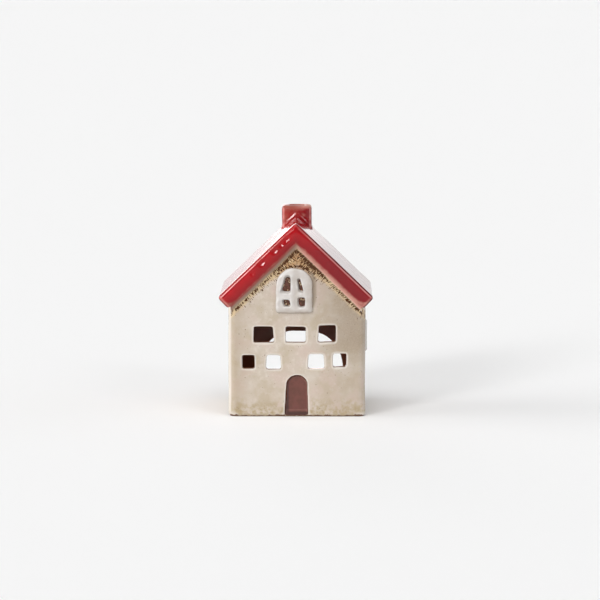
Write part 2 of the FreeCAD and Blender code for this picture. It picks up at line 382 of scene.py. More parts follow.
    def _body_colour(
        self, graph: Graph, place: Socket, axes: Sequence[Socket], fine: Socket
    ) -> Socket:
        """The quiet mottling of the open wall, browner at its left shoulder, with painted shade on its upper
        right shoulder, golden by its foot and corners.

        Args:
            graph: the tree to add to.
            place: the place in the object.
            axes: its X, Y and Z.
            fine: the fine mottling.

        Returns:
            The colour.
        """
        add = graph.add
        broad = add(Kind.NOISE, place, *self.mottle.values)
        tint = add(Kind.GREEN, broad.node.outputs[1])
        rise = add(Kind.STEP, axes["Z"], *self.right_shade_rise)
        sideways = add(Kind.SIZE, axes["X"])
        stain_end = add(Kind.STEP, sideways, *self.stain_end)
        corners = add(Kind.TIMES, add(Kind.STEP, sideways, *self.corner_stain), stain_end)
        near = add(Kind.MOST, add(Kind.STEP, axes["Z"], *self.low_stain), corners)
        patchy = add(Kind.TIMES_PLUS, near, self.stain_share, fine)
        return graph.coats(
            self.shade,
            (add(Kind.STEP, broad, *self.mottled), self.cream),
            (add(Kind.STEP, tint, *self.blushed), self.blush),
            (add(Kind.STEP, fine, *self.paled), self.light),
            (add(Kind.STEP, axes["X"], *self.left_side), self.left_shoulder),
            # Painted shade on the upper right shoulder
            (add(Kind.TIMES, add(Kind.STEP, axes["X"], *self.right_shade_side), rise), self.painted_shade),
            (add(Kind.TIMES, add(Kind.STEP, patchy, *self.stain_patch), near), self.stain),
        )

    def _gable_colour(
        self, graph: Graph, across: Socket, attic: Socket, colour: Socket
    ) -> tuple[Socket, Socket]:
        """Lay the golden break and the rust drips under the roof; both reach lower towards the apex.

        Args:
            graph: the tree to add to.
            across: the place along X.
            attic: the distance from the attic window.
            colour: the glaze under the drips.

        Returns:
            The colour with the drips, and the mask of the rust.
        """
        add = graph.add
        # The mark runs along the roof, down from its underside, and along from the apex
        slope = add(Kind.MARK, attribute_name="slope").node.outputs["Vector"]
        _, drop, along = add(Kind.AXES, slope).node.outputs
        crown = add(Kind.STEP, along, *self.crown_along)
        reach = add(Kind.RANGE, crown, 0, 1, self.golden_reach, self.crown_reach)
        near = add(Kind.STEP, add(Kind.SHARE, drop, reach), *self.golden_near)

        stretched = add(Kind.STRETCH, slope, self.drip_stretch)
        drips = add(Kind.NOISE, stretched, *self.drip.values)
        streaky = add(Kind.TIMES_PLUS, drips, self.streak_share, near)
        patchy = add(Kind.NOISE, stretched, *self.drip_patch.values)
        honey = add(Kind.STEP, patchy, *self.honey_patch)
        golden = graph.coats(self.golden, (crown, self.crown), (honey, self.honey))

        from_line = add(Kind.SIZE, add(Kind.PLUS, drop, -self.rust_line))
        from_ring = add(Kind.SIZE, add(Kind.PLUS, attic, -self.rust_ring))
        ring = add(Kind.TIMES, add(Kind.STEP, from_ring, *self.ring_near), crown)
        line = add(Kind.MOST, add(Kind.STEP, from_line, *self.line_near), ring)
        graded = add(Kind.STEP, across, *self.rust_right)
        dense = add(Kind.TIMES_PLUS, crown, self.rust_spread, self.rust_spread)
        spread = add(Kind.TIMES, near, add(Kind.TIMES, dense, graded))
        heavy = add(Kind.TIMES_PLUS, crown, self.line_crown, add(Kind.STEP, across, *self.line_right))
        ready = add(Kind.PLUS, drips, add(Kind.TIMES_PLUS, line, heavy, spread))
        clusters = add(Kind.NOISE, slope, *self.cluster.values)
        sparing = add(Kind.TIMES, add(Kind.STEP, crown, *self.cluster_crown), graded)
        sparing = add(Kind.MOST, sparing, self.least_cluster)
        ready = add(Kind.TIMES_PLUS, add(Kind.RANGE, clusters, *self.clustered), sparing, ready)
        rust = add(Kind.TIMES, add(Kind.STEP, ready, *self.rusty), add(Kind.STEP, near, *self.rust_end))
        broken = add(Kind.STEP, streaky, *self.golden_streak)
        return graph.coats(colour, (broken, golden), (rust, self.rust)), rust


@dataclass(frozen=True)
class RedGlaze:
    """Thick red stoneware glaze: a mirror gloss, browner where it runs thin, with painted shade, painted
    highlights and a painted dark reflection where the mesh is marked.
    """

    red: str = "AE0C14"
    deep: str = "9B0B12"
    # Painted shade on the lower part of the roof's gable ends and on the chimney's right
    shaded_red: str = "780810"
    # Painted shade over the roof's right side
    right: str = "741219"
    thin: str = "9A6252"
    # A lit copy of the thin colour, for the band under the right slope
    lit_right_thin: str = "CE9686"
    # Painted highlight along the arrises of the roof and the chimney
    edge: str = "EC9C94"
    # A painted dark line at the arris, standing for a dark reflection
    dark_reflection: str = "35101A"
    # Real sizes of the mottling, the thin patches and the waves of the surface
    mottle: Pattern = Pattern(9 * MM, 3)
    patch: Pattern = Pattern(4 * MM, 3)
    patch_share: float = 0.5
    wave: Pattern = Pattern(5 * MM, 2)
    wave_depth: float = 0.01 * MM
    mottled: Limits = (0.3, 0.7)
    # Where the right side's painted shade and the lit band on the right begin
    right_shade_side: Limits = (-8 * MM, 22 * MM, 0, 0.8)
    lit_band_side: Limits = (-3 * MM, 5 * MM)
    bare: Limits = (0.45, 1.15)
    shade_share: float = 0.62
    # Where it is thin it is also duller
    roughness: Limits = (0, 1, 0.07, 0.5)
    gloss: Limits = (0, 1, 0.42, 0.2)
    refraction: float = 1.46

    def material(self) -> bpy.types.Material:
        """Build the material. Marks on the mesh say where it is thin, where shade and highlights are
        painted, and where a dark reflection is painted at the arris.

        Returns:
            The material.
        """
        made = bpy.data.materials.new("red_stoneware_glaze")
        graph = Graph(made)
        add = graph.add
        place = add(Kind.PLACE)
        across = add(Kind.AXES, place)
        thin, red_shade, edge, dark_reflection = (
            add(Kind.MARK, attribute_name=name) for name in ("thin", "red_shade", "edge", "dark_reflection")
        )
        broad = add(Kind.NOISE, place, *self.mottle.values)
        patch = add(Kind.NOISE, place, *self.patch.values)
        bare = add(Kind.STEP, add(Kind.TIMES_PLUS, patch, self.patch_share, thin), *self.bare)
        lit_band_side = add(Kind.STEP, across, *self.lit_band_side)
        colour = graph.coats(
            self.deep,
            (add(Kind.STEP, broad, *self.mottled), self.red),
            # Painted shade on the right side and on the marked lower parts, the thin glaze with a lit copy
            # on the right, a painted highlight and a painted dark reflection
            (add(Kind.STEP, across, *self.right_shade_side), self.right),
            (add(Kind.TIMES, red_shade, self.shade_share), self.shaded_red),
            (bare, graph.coats(self.thin, (lit_band_side, self.lit_right_thin))),
            (edge, self.edge),
            (dark_reflection, self.dark_reflection),
        )
        rough = add(Kind.RANGE, bare, *self.roughness)
        gloss = add(Kind.RANGE, bare, *self.gloss)
        bump = add(Kind.BUMP, add(Kind.NOISE, place, *self.wave.values), self.wave_depth)
        add(Kind.MATERIAL, add(Kind.GLAZED, colour, rough, gloss, self.refraction, bump))
        return made


@dataclass(frozen=True)
class PlainCoat:
    """A coat that is nearly one colour, with soft mottling and a fine surface grain."""

    name: str
    colour: str
    second: str
    # The colour of painted shade, and the colour painted on the arrises: a painted highlight, on the white
    # glaze also its paler break
    shade: str
    edge: str
    roughness: float
    mottle: Pattern
    grain: Pattern
    grain_depth: float
    metallic: float = 0.0
    subsurface: float = 0.0
    subsurface_radius: Point = (3 * MM, 2 * MM, 1.5 * MM)
    mottled: Limits = (0.35, 0.65)
    arris: Limits = (0.05 * MM, 0.25 * MM, 0, 0.6)

    def material(self) -> bpy.types.Material:
        """Build the material. Marks on the mesh say where its arrises are, which are painted paler, and
        where shade is painted.

        Returns:
            The material.
        """
        made = bpy.data.materials.new(self.name)
        graph = Graph(made)
        add = graph.add
        place = add(Kind.PLACE)
        arris, shade = (add(Kind.MARK, attribute_name=name) for name in ("arris", "shade"))
        broad = add(Kind.NOISE, place, *self.mottle.values)
        colour = graph.coats(
            self.colour,
            (add(Kind.STEP, broad, *self.mottled), self.second),
            # Paler arrises as a painted highlight, and painted shade where the mesh is marked
            (add(Kind.STEP, arris, *self.arris), self.edge),
            (shade, self.shade),
        )
        bump = add(Kind.BUMP, add(Kind.NOISE, place, *self.grain.values), self.grain_depth)
        shader = add(
            Kind.COATED,
            colour,
            self.roughness,
            self.metallic,
            self.subsurface,
            self.subsurface_radius,
            bump,
        )
        add(Kind.MATERIAL, shader)
        return made


def make_active(piece: Piece) -> None:
    """Select one object alone and make it active.

    Args:
        piece: the object.
    """
    if bpy.context.mode != "OBJECT":
        bpy.ops.object.mode_set(mode="OBJECT")
    bpy.ops.object.select_all(action="DESELECT")
    piece.select_set(True)
    bpy.context.view_layer.objects.active = piece


def settle(piece: Piece) -> Piece:
    """Put a piece's place, turn and scale into its mesh.

    Args:
        piece: the object to settle.

    Returns:
        The piece.
    """
    make_active(piece)
    bpy.ops.object.transform_apply(location=True, rotation=True, scale=True)
    return piece


def block(name: str, low: Sequence[float], high: Sequence[float]) -> Piece:
    """Add a block between two corners.

    Args:
        name: the object's name.
        low: the lowest corner.
        high: the highest corner.

    Returns:
        The block.
    """
    bpy.ops.object.select_all(action="DESELECT")
    centre = [(start + end) / 2 for start, end in zip(low, high)]
    size = [end - start for start, end in zip(low, high)]
    bpy.ops.mesh.primitive_cube_add(size=1, location=centre, scale=size)
    piece = bpy.context.active_object
    piece.name = name
    return settle(piece)


def trim(
    piece: Piece, place: Sequence[float], normal: Sequence[float], close: bool = True
) -> Piece:
    """Cut away all of a piece that lies past a plane.

    Args:
        piece: the object to cut.
        place: a point of the plane.
        normal: the direction of the part that goes.
        close: whether to close the cut with a face.

    Returns:
        The piece.
    """
    make_active(piece)
    bpy.ops.object.mode_set(mode="EDIT")
    bpy.ops.mesh.select_all(action="SELECT")
    bpy.ops.mesh.bisect(
        plane_co=tuple(place),
        plane_no=tuple(normal),
        use_fill=close,
        clear_outer=True,
        threshold=CUT_THRESHOLD,
    )
    bpy.ops.object.mode_set(mode="OBJECT")
    return piece


def round_edges(
    piece: Piece, radius: float, chosen: EdgeTest, segments: int = 8
) -> Piece:
    """Round the edges that a test picks.

    Args:
        piece: the object to work on.
        radius: the radius of the round.
        chosen: takes an edge's two ends and says whether to round it.
        segments: how many faces go round the bend.

    Returns:
        The piece.
    """
    make_active(piece)
    bpy.ops.object.mode_set(mode="EDIT")
    bpy.ops.mesh.select_mode(type="EDGE")
    bpy.ops.mesh.select_all(action="DESELECT")
    bpy.ops.object.mode_set(mode="OBJECT")
    points = piece.data.vertices
    for edge in piece.data.edges:
        edge.select = chosen(points[edge.vertices[0]].co, points[edge.vertices[1]].co)
    bpy.ops.object.mode_set(mode="EDIT")
    bpy.ops.mesh.bevel(offset=radius, segments=segments, profile=0.5, clamp_overlap=True)
    bpy.ops.object.mode_set(mode="OBJECT")
    return piece


def runs_along(axis: int) -> EdgeTest:
    """Make a test for edges that run along an axis.

    Args:
        axis: 0 for X to 2 for Z.

    Returns:
        The test.
    """
    others = [number for number in range(3) if number != axis]
    return lambda start, end: all(abs(start[number] - end[number]) < CLOSE for number in others)


def upper_along_y(piece: Piece) -> EdgeTest:
    """Make a test for the edges of a piece that run along Y at its top.

    Args:
        piece: the object to measure.

    Returns:
        The test.
    """
    top = max(point.co.z for point in piece.data.vertices)
    along_y = runs_along(1)
    return lambda start, end: along_y(start, end) and top - start.z < LEVEL


def shaped(piece: Piece, kind: str, **settings: object) -> Piece:
    """Add a modifier and apply it.

    Args:
        piece: the object to work on.
        kind: the modifier's type.
        settings: its own properties.

    Returns:
        The piece.
    """
    make_active(piece)
    modifier = piece.modifiers.new(kind.lower(), kind)
    for name, value in settings.items():
        setattr(modifier, name, value)
    bpy.ops.object.modifier_apply(modifier=modifier.name)
    return piece


def carve(piece: Piece, tool: Piece) -> Piece:
    """Cut a tool's form out of a piece, and put the tool away.

    Args:
        piece: the object to cut.
        tool: the form that goes.

    Returns:
        The piece.
    """
    shaped(piece, "BOOLEAN", object=tool, operation="DIFFERENCE", solver="EXACT")
    bpy.data.objects.remove(tool)
    return piece


def merge(pieces: Sequence[Piece]) -> Piece:
    """Join overlapping pieces.

    Args:
        pieces: the objects to join.

    Returns:
        The first one, which now holds them all.
    """
    make_active(pieces[0])
    for piece in pieces:
        piece.select_set(True)
    bpy.ops.object.join()
    return pieces[0]


def soften(piece: Piece, grain: float, passes: int) -> Piece:
    """Turn a crisp form into one soft skin, as clay under glaze.

    Args:
        piece: a closed form, or several that overlap.
        grain: the size of the skin's faces.
        passes: how many times the skin is smoothed.

    Returns:
        The piece.
    """
    shaped(piece, "REMESH", mode="VOXEL", voxel_size=grain)
    return shaped(piece, "SMOOTH", factor=0.5, iterations=passes)


def undulate(piece: Piece, wave: float, depth: float) -> Piece:
    """Push the surface in and out a little, as on hand-pressed clay.

    Args:
        piece: the object to work on.
        wave: the size of the waves.
        depth: how far the highest lies above the lowest.

    Returns:
        The piece.
    """
    texture = bpy.data.textures.new("unevenness", "CLOUDS")
    texture.noise_scale = wave
    texture.noise_depth = 1
    return shaped(piece, "DISPLACE", texture=texture, texture_coords="LOCAL", strength=depth, mid_level=0.5)


def weigh(piece: Piece, name: str, values: np.ndarray) -> str:
    """Store a weight for each point, for a modifier to follow.

    Args:
        piece: the object to weigh.
        name: the name of the weights.
        values: the weights, from 0 to 1.

    Returns:
        The name.
    """
    group = piece.vertex_groups.new(name=name)
    for index in np.flatnonzero(values > 0):
        group.add([int(index)], float(values[index]), "REPLACE")
    return name


def press(piece: Piece, place: Point, push: Point, radius: float) -> None:
    """Push the surface near a place, as with a fingertip.

    Args:
        piece: the object to press.
        place: the middle of the dent.
        push: how far and where its middle goes.
        radius: how far the dent reaches.
    """
    away = np.linalg.norm(points_of(piece) - np.array(place), axis=1)
    make_active(piece)
    bpy.ops.object.mode_set(mode="EDIT")
    bpy.ops.mesh.select_mode(type="VERT")
    bpy.ops.mesh.select_all(action="DESELECT")
    bpy.ops.object.mode_set(mode="OBJECT")
    piece.data.vertices[int(away.argmin())].select = True
    bpy.ops.object.mode_set(mode="EDIT")
    bpy.ops.transform.translate(
        value=push,
        use_proportional_edit=True,
        proportional_edit_falloff="SMOOTH",
        proportional_size=radius,
        use_proportional_connected=True,
    )
    bpy.ops.object.mode_set(mode="OBJECT")


def copy_of(piece: Piece, name: str) -> Piece:
    """Copy a piece with its mesh.

    Args:
        piece: the object to copy.
        name: the copy's name.

    Returns:
        The copy, with its own mesh.
    """
    twin = piece.copy()
    twin.data = piece.data.copy()
    twin.name = name
    bpy.context.collection.objects.link(twin)
    return twin


def points_of(piece: Piece) -> np.ndarray:
    """Read the places of a piece's points.

    Args:
        piece: the object to read.

    Returns:
        One row for each point.
    """
    flat = np.empty(len(piece.data.vertices) * 3)
    piece.data.vertices.foreach_get("co", flat)
    return flat.reshape(-1, 3)


def mark(piece: Piece, name: str, values: np.ndarray) -> None:
    """Store a number or a vector for each point, for the finishes to read.

    Args:
        piece: the object to mark.
        name: the mark's name.
        values: one number or one row for each point.
    """
    kind, field = ("FLOAT", "value") if values.ndim == 1 else ("FLOAT_VECTOR", "vector")
    attribute = piece.data.attributes.new(name, kind, "POINT")
    attribute.data.foreach_set(field, values.astype(np.float32).ravel())


def bell(distance: np.ndarray, width: float) -> np.ndarray:
    """Make a soft line.

    Args:
        distance: how far each point is from the line.
        width: the distance at which it has faded to a third.

    Returns:
        1 on the line and near 0 away from it.
    """
    return np.exp(-((distance / width) ** 2))


def mark_arris(piece: Piece, passes: int = 20) -> None:
    """Mark how far each point stands out from the surface round it: arrises are above 0, hollows below.

    Args:
        piece: the object to mark.
        passes: how many steps away the surface round a point reaches.
    """
    mesh = piece.data
    start = points_of(piece)
    ends = np.empty(len(mesh.edges) * 2, int)
    mesh.edges.foreach_get("vertices", ends)
    first, second = ends.reshape(-1, 2).T
    neighbours = np.bincount(ends, minlength=len(start))[:, None]
    place = start.copy()
    for _ in range(passes):
        total = np.empty_like(place)
        for axis in range(3):
            total[:, axis] = np.bincount(first, place[second, axis], len(place))
            total[:, axis] += np.bincount(second, place[first, axis], len(place))
        place = total / neighbours
    normals = np.empty(len(mesh.vertices) * 3)
    mesh.vertices.foreach_get("normal", normals)
    mark(piece, "arris", ((start - place) * normals.reshape(-1, 3)).sum(1))


def hand_over(piece: Piece, name: str, slot: Slot, finish: bpy.types.Material, node: str) -> None:
    """Name, dress and mount a finished piece.

    Args:
        piece: the object, already in its place.
        name: its final name.
        slot: the record's slot for its finish; not used.
        finish: its material.
        node: the CAD node that it stands for.
    """
    settle(piece)
    piece.name = piece.data.name = name
    bpy.ops.object.shade_smooth_by_angle(angle=SHARP)
    piece.data.materials.clear()
    piece.data.materials.append(finish)
    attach(piece, BODY)
    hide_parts(node)
    log.info("%s: %d faces, on %s", name, len(piece.data.polygons), BODY)


@dataclass(frozen=True)
class House:
    """The sizes that the house's sub-assemblies share."""

    half_span: float = 38.5 * MM
    half_depth: float = 37 * MM
    wall: float = 5 * MM
    eaves: float = 60.3 * MM
    pitch: float = math.radians(43.8)
    roof_thickness: float = 8.9 * MM
    overhang: float = 3 * MM
    # The potter set the roof a little to the left of the walls
    roof_centre: float = -0.6 * MM
    base: float = 5 * MM
    # The flue runs through the chimney and the roof
    flue: Pair = (8.6 * MM, 7.6 * MM)
    flue_place: Pair = (-0.5 * MM, 22 * MM)
    grain: float = 0.5 * MM

    @property
    def apex(self) -> float:
        """The height at which the roof's underside meets itself."""
        return self.eaves + self.half_span * math.tan(self.pitch)

    def roof_normal(self, side: Side) -> Vector:
        """The outward normal of the slope on a side."""
        return Vector((side.value * math.sin(self.pitch), 0, math.cos(self.pitch)))

    def below_roof(self, piece: Piece, lift: float) -> None:
        """Trim a piece to the roof's underside, raised by a small lift."""
        for side in Side:
            trim(piece, (0, 0, self.apex + lift), self.roof_normal(side))

    def open_flue(self, piece: Piece, top: float) -> None:
        """Cut the flue out of a piece, from the eaves up.

        Args:
            piece: the object to cut.
            top: the height up to which it is cut.
        """
        low = [place - size / 2 for place, size in zip(self.flue_place, self.flue)]
        high = [place + size / 2 for place, size in zip(self.flue_place, self.flue)]
        carve(piece, block("flue", (*low, self.eaves), (*high, top)))


@dataclass(frozen=True)
class Opening:
    """A hand-cut hole, seen from outside: its corners in millimetres, across and up."""

    low_left: Pair
    low_right: Pair
    high_left: Pair
    high_right: Pair

    def tool(
        self, start: float, end: float, scale: float = MM, flare: float = 1.0, lean: float = 0.0
    ) -> Piece:
        """Make the hole's cutter.

        Args:
            start: where it begins along Y.
            end: where it ends along Y.
            scale: the size of one unit of the corners.
            flare: how much wider it is at its start than at its end.
            lean: how far its start is moved across, in the corners' unit.

        Returns:
            A prism along Y.
        """
        bpy.ops.object.select_all(action="DESELECT")
        bpy.ops.mesh.primitive_cube_add(size=2)
        piece = bpy.context.active_object
        rows = ((self.low_left, self.low_right), (self.high_left, self.high_right))
        middle = Vector([sum(corner[axis] for row in rows for corner in row) / 4 for axis in (0, 1)])
        for point in piece.data.vertices:
            corner = Vector(rows[point.co.z > 0][point.co.x > 0])
            if point.co.y < 0:
                corner = middle + (corner - middle) * flare + Vector((lean, 0))
            point.co = (corner.x * scale, start if point.co.y < 0 else end, corner.y * scale)
        return piece


@dataclass(frozen=True)
class Walls:
    """The four clay walls, made as one luted box and parted along its joints."""

    house: House
    finish: CreamGlaze
    corner_radius: float = 4.5 * MM
    # The foot is rounded and then cut flat on the table
    foot_radius: float = 2.2 * MM
    foot_cut: float = 0.4 * MM
    foot_segments: int = 6
    window_radius: float = 0.5 * MM
    window_segments: int = 4
    seat_lift: float = 0.5 * MM
    slip_height: float = 2.4 * MM
    slip_reach: float = 2.45 * MM
    slip_lap: float = 0.5 * MM
    slip_end: float = 36.6 * MM
    slip_overlap: float = 0.5 * MM
    joint_inset: float = 1.0 * MM
    # The corners of each hole in the photograph, upper row first
    windows: tuple[Opening, ...] = (
        Opening((-24.5, 41.9), (-12.7, 41.9), (-24.1, 51.0), (-13.6, 51.0)),
        Opening((-6.5, 41.8), (5.1, 41.8), (-6.2, 51.0), (5.0, 50.7)),
        Opening((11.8, 41.9), (21.9, 42.2), (12.3, 51.5), (21.8, 51.7)),
        Opening((-30.7, 27.0), (-23.6, 27.1), (-30.7, 34.7), (-23.8, 34.7)),
        Opening((-17.3, 26.7), (-8.9, 26.7), (-16.9, 34.8), (-9.3, 34.6)),
        Opening((6.2, 27.1), (15.5, 27.1), (6.6, 35.3), (15.0, 35.3)),
        Opening((20.1, 27.9), (27.7, 28.1), (20.3, 35.7), (28.0, 35.6)),
    )
    doorway: Opening = Opening((-6.9, 0.9), (6.3, 0.9), (-5.5, 23.3), (5.7, 23.3))
    door_recess: float = 2.2 * MM
    door_radius: float = 5.2 * MM
    back_arch: Opening = Opening((-22.7, 5.0), (26.1, 5.0), (-22.7, 40.0), (26.1, 40.0))
    arch_radius: float = 21 * MM
    arch_segments: int = 24
    # How far a form that is cut, or the form that cuts it, reaches past the rest
    spare: float = 2 * MM
    smooth_passes: int = 8
    # The size and the depth of its unevenness, broad and then fine
    waves: tuple[Pair, ...] = ((16 * MM, 0.5 * MM), (5 * MM, 0.12 * MM))
    # The panes behind the relief windows: the middle and the half size of each, along and up
    attic_pane: tuple[Pair, Pair] = ((-1.5 * MM, 70.5 * MM), (8 * MM, 9 * MM))
    side_pane: tuple[Pair, Pair] = ((0, 41.5 * MM), (5 * MM, 6 * MM))
    pane_depth: float = 1 * MM
    # The door's reveal shows its brown slip from its left edge to its right, and up to its top
    reveal: Point = (-7.5 * MM, 5.2 * MM, 23.8 * MM)
    reveal_depth: float = 0.5 * MM
    # The attic window's outline: its middle, its half size and the radius of its corners
    attic_middle: Pair = (-1.2 * MM, 71.3 * MM)
    attic_half: Pair = (10.5 * MM, 12.7 * MM)
    attic_corner: float = 9.2 * MM
    slip_mark_start: float = 0.3 * MM
    slip_mark_reach: float = 2.2 * MM

    def build(self) -> None:
        """Model the walls, dress them and mount them."""
        shell = self._shell()
        for opening in self.windows:
            carve(shell, self._window_tool(opening))
        carve(shell, self._door_tool())
        carve(shell, self._arch_tool())
        slips = [self._slip(gable, side) for gable in Gable for side in Side]
        merge([shell, *slips])
        soften(shell, self.house.grain, self.smooth_passes)
        for wave, depth in self.waves:
            undulate(shell, wave, depth)
        trim(shell, (0, 0, 0), (0, 0, -1))
        self._mark(shell)
        self._part(shell)

    def _shell(self) -> Piece:
        """Make the luted box, open to the roof and the floor.

        Returns:
            The box.
        """
        house = self.house
        outer = block(
            "walls",
            (-house.half_span, -house.half_depth, -self.foot_cut),
            (house.half_span, house.half_depth, house.apex + self.spare),
        )
        round_edges(outer, self.corner_radius, runs_along(2))
        round_edges(
            outer,
            self.foot_radius,
            lambda start, end: max(start.z, end.z) < 0,
            self.foot_segments,
        )
        house.below_roof(outer, self.seat_lift)
        inner = block(
            "chamber",
            (-house.half_span + house.wall, -house.half_depth + house.wall, -self.spare),
            (house.half_span - house.wall, house.half_depth - house.wall, house.apex + 2 * self.spare),
        )
        return carve(outer, inner)

    def _window_tool(self, opening: Opening) -> Piece:
        """Make the cutter of a front window, from outside the wall to inside it.

        Args:
            opening: the window's hole.

        Returns:
            The cutter.
        """
        face, wall = -self.house.half_depth, self.house.wall
        tool = opening.tool(face - wall, face + 2 * wall)
        return round_edges(tool, self.window_radius, runs_along(1), self.window_segments)

    def _door_tool(self) -> Piece:
        """Make the cutter of the recess that the door is let into.

        Returns:
            The cutter.
        """
        face = -self.house.half_depth
        tool = self.doorway.tool(face - self.door_recess, face + self.door_recess)
        return round_edges(tool, self.door_radius, upper_along_y(tool))

    def _arch_tool(self) -> Piece:
        """Make the cutter of the back opening, down to the floor.

        Returns:
            The cutter.
        """
        face, wall = self.house.half_depth, self.house.wall
        tool = self.back_arch.tool(face - 2 * wall, face + wall)
        return round_edges(tool, self.arch_radius, upper_along_y(tool), self.arch_segments)

    def _slip(self, gable: Gable, side: Side) -> Piece:
        """Model the fillet of slip under the roof's overhang, over one slope of one gable.

        Args:
            gable: the gable that it is on.
            side: the side of its slope.

        Returns:
            The fillet.
        """
        house = self.house
        face = gable.value * house.half_depth
        reach_y = sorted((face - gable.value * house.wall / 2, face + gable.value * self.slip_reach))
        reach_x = sorted((-side.value * self.slip_overlap, house.roof_centre + side.value * self.slip_end))
        above = house.apex + 2 * self.spare
        slip = block("slip", (reach_x[0], reach_y[0], house.base), (reach_x[1], reach_y[1], above))
        normal = house.roof_normal(side)
        ridge = Vector((0, 0, house.apex))
        trim(slip, ridge + normal * self.slip_reach, normal)
        under = Vector((0, gable.value * (self.slip_height + self.slip_lap), 0)) - normal * self.slip_reach
        outside = Vector((0, face + gable.value * self.slip_reach, 0))
        return trim(slip, ridge + outside + normal * self.slip_lap, under.normalized())

    def _mark(self, shell: Piece) -> None:
        """Mark arrises, the distance from the roof, the inside and the panes behind the relief windows.

        Args:
            shell: the luted box.
        """
        house = self.house
        mark_arris(shell)
        x, y, z = points_of(shell).T
        sideways = np.abs(x)
        drop = (house.apex - z) * math.cos(house.pitch) - sideways * math.sin(house.pitch)
        along = sideways * math.cos(house.pitch) + (house.apex - z) * math.sin(house.pitch)
        below = house.apex - np.maximum(z, house.eaves)
        beside = sideways * math.cos(house.pitch) + below * math.sin(house.pitch)
        mark(shell, "slope", np.stack([beside * np.sign(x) + y, drop, along], 1))
        chamber = house.half_span - house.wall, house.half_depth - house.wall
        mark(shell, "skin", np.maximum(sideways - chamber[0], np.abs(y) - chamber[1]))
        attic = self._within(x, z, self.attic_pane) & (y < self.pane_depth - house.half_depth)
        sides = self._within(y, z, self.side_pane) & (sideways > house.half_span - self.pane_depth)
        mark(shell, "pane", (attic | sides).astype(float))
        left, right, top = self.reveal
        reveal = (x > left) & (x < right) & (z < top)
        reveal &= (y > self.reveal_depth - house.half_depth) & (y < 0)
        mark(shell, "door", reveal.astype(float))
        across, up = (
            np.abs(place - middle) - half + self.attic_corner
            for place, middle, half in zip((x, z), self.attic_middle, self.attic_half)
        )
        outside = np.hypot(np.clip(across, 0, None), np.clip(up, 0, None)) - self.attic_corner
        mark(shell, "attic", outside + np.minimum(np.maximum(across, up), 0) + house.half_depth * (y > 0))
        proud = np.abs(y) - house.half_depth - self.slip_mark_start
        mark(shell, "slip", np.clip(proud / self.slip_mark_reach, 0, 1))

    @staticmethod
    def _within(along: np.ndarray, up: np.ndarray, zone: tuple[Pair, Pair]) -> np.ndarray:
        """Tell which points lie in an upright zone.

        Args:
            along: the points' places along the zone's wall.
            up: their heights.
            zone: its middle and its half size, each along and up.

        Returns:
            Whether each point lies in it.
        """
        middle, half = zone
        return (np.abs(along - middle[0]) < half[0]) & (np.abs(up - middle[1]) < half[1])

    def _part(self, shell: Piece) -> None:
        """Part the box into its four walls and hand them over.

        Args:
            shell: the luted box.
        """
        house = self.house
        cream = self.finish.material()
        joint = house.half_depth - house.wall + self.joint_inset
        for gable in Gable:
            name = gable.name.lower()
            wall = trim(copy_of(shell, name), (0, gable.value * joint, 0), (0, -gable.value, 0))
            hand_over(wall, name + "_wall_glazed", Slot.CREAM, cream, name + "_gable_wall")
        for gable in Gable:
            trim(shell, (0, gable.value * joint, 0), (0, gable.value, 0))
        for side in Side:
            name = side.name.lower()
            wall = trim(copy_of(shell, name), (0, 0, 0), (-side.value, 0, 0))
            hand_over(wall, name + "_wall_glazed", Slot.CREAM, cream, name + "_side_wall")
        bpy.data.objects.remove(shell)


@dataclass(frozen=True)
class Dent:
    """A fingertip's dent in an upright face: its place along and up that face, and its size."""

    along: float
    up: float
    radius: float
    depth: float


